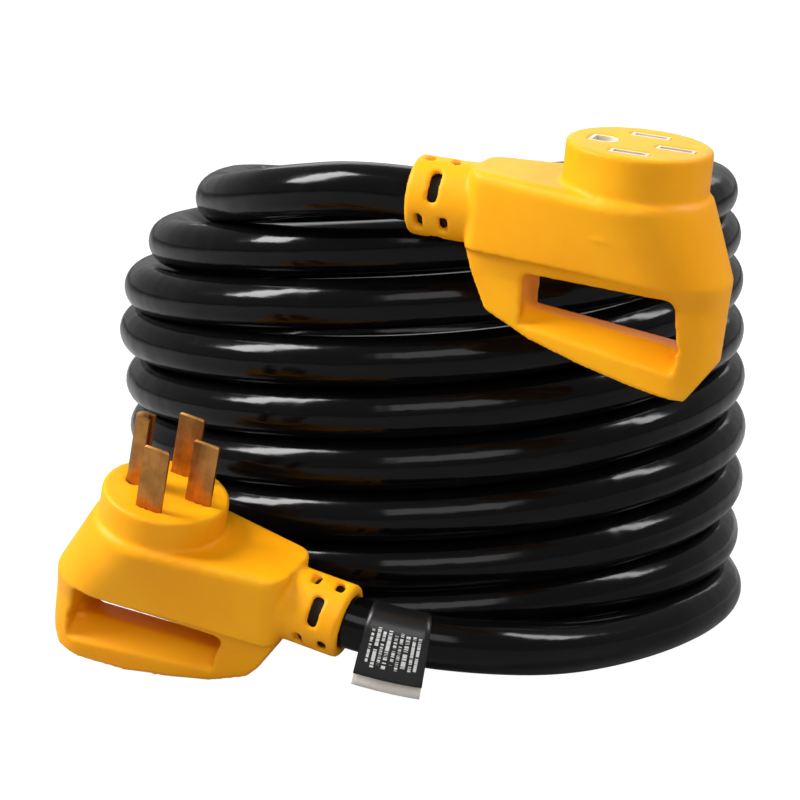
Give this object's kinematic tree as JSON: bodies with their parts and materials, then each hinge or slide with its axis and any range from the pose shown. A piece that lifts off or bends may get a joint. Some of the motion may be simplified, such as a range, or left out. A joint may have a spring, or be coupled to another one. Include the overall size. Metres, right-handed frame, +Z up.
{
  "type": "shore power cord",
  "caption": "Coiled heavy black power cord with yellow angled pull-handle ends: a four-prong plug and a matching four-slot connector.",
  "frame": {"origin": "on the surface it stands on, at the axis of the coil", "axes": "+Z up along the coil's axis; -Y towards the side where the plug lies and the connector hangs; +X from the plug's side towards the connector's nose"},
  "size_m": [0.3577, 0.4182, 0.2745],
  "materials": {
    "yellow_moulding": "satin moulded vinyl",
    "inner_core": "matte rigid nylon",
    "pale_insert": "matte pale nylon",
    "copper_alloy": "brushed copper-coloured brass",
    "contact_brass": "bright brass",
    "steel_ferrule": "plated steel",
    "bare_copper": "bare stranded copper",
    "cable_jacket": "glossy black vinyl jacket",
    "black_label": "satin printed film",
    "insulation_black": "satin",
    "insulation_red": "satin",
    "insulation_white": "satin",
    "insulation_green": "satin"
  },
  "bodies": {
    "root": {"blade_hot_x": "copper_alloy", "blade_hot_y": "copper_alloy", "blade_neutral": "copper_alloy", "cable_coil": "cable_jacket", "cable_lead_connector": "cable_jacket", "cable_lead_plug": "cable_jacket", "connector_body": "yellow_moulding", "connector_cable_clamp": "steel_ferrule", "connector_core": "inner_core", "connector_face_insert": "pale_insert", "connector_strands": "bare_copper", "connector_tail_ground": "insulation_green", "connector_tail_hot_x": "insulation_black", "connector_tail_hot_y": "insulation_red", "connector_tail_neutral": "insulation_white", "contact_ground": "contact_brass", "contact_hot_x": "contact_brass", "contact_hot_y": "contact_brass", "contact_neutral": "contact_brass", "pin_ground": "copper_alloy", "plug_body": "yellow_moulding", "plug_cable_clamp": "steel_ferrule", "plug_core": "inner_core", "plug_strands": "bare_copper", "plug_tail_ground": "insulation_green", "plug_tail_hot_x": "insulation_black", "plug_tail_hot_y": "insulation_red", "plug_tail_neutral": "insulation_white", "rating_tag": "black_label"}
  },
  "joints": []
}
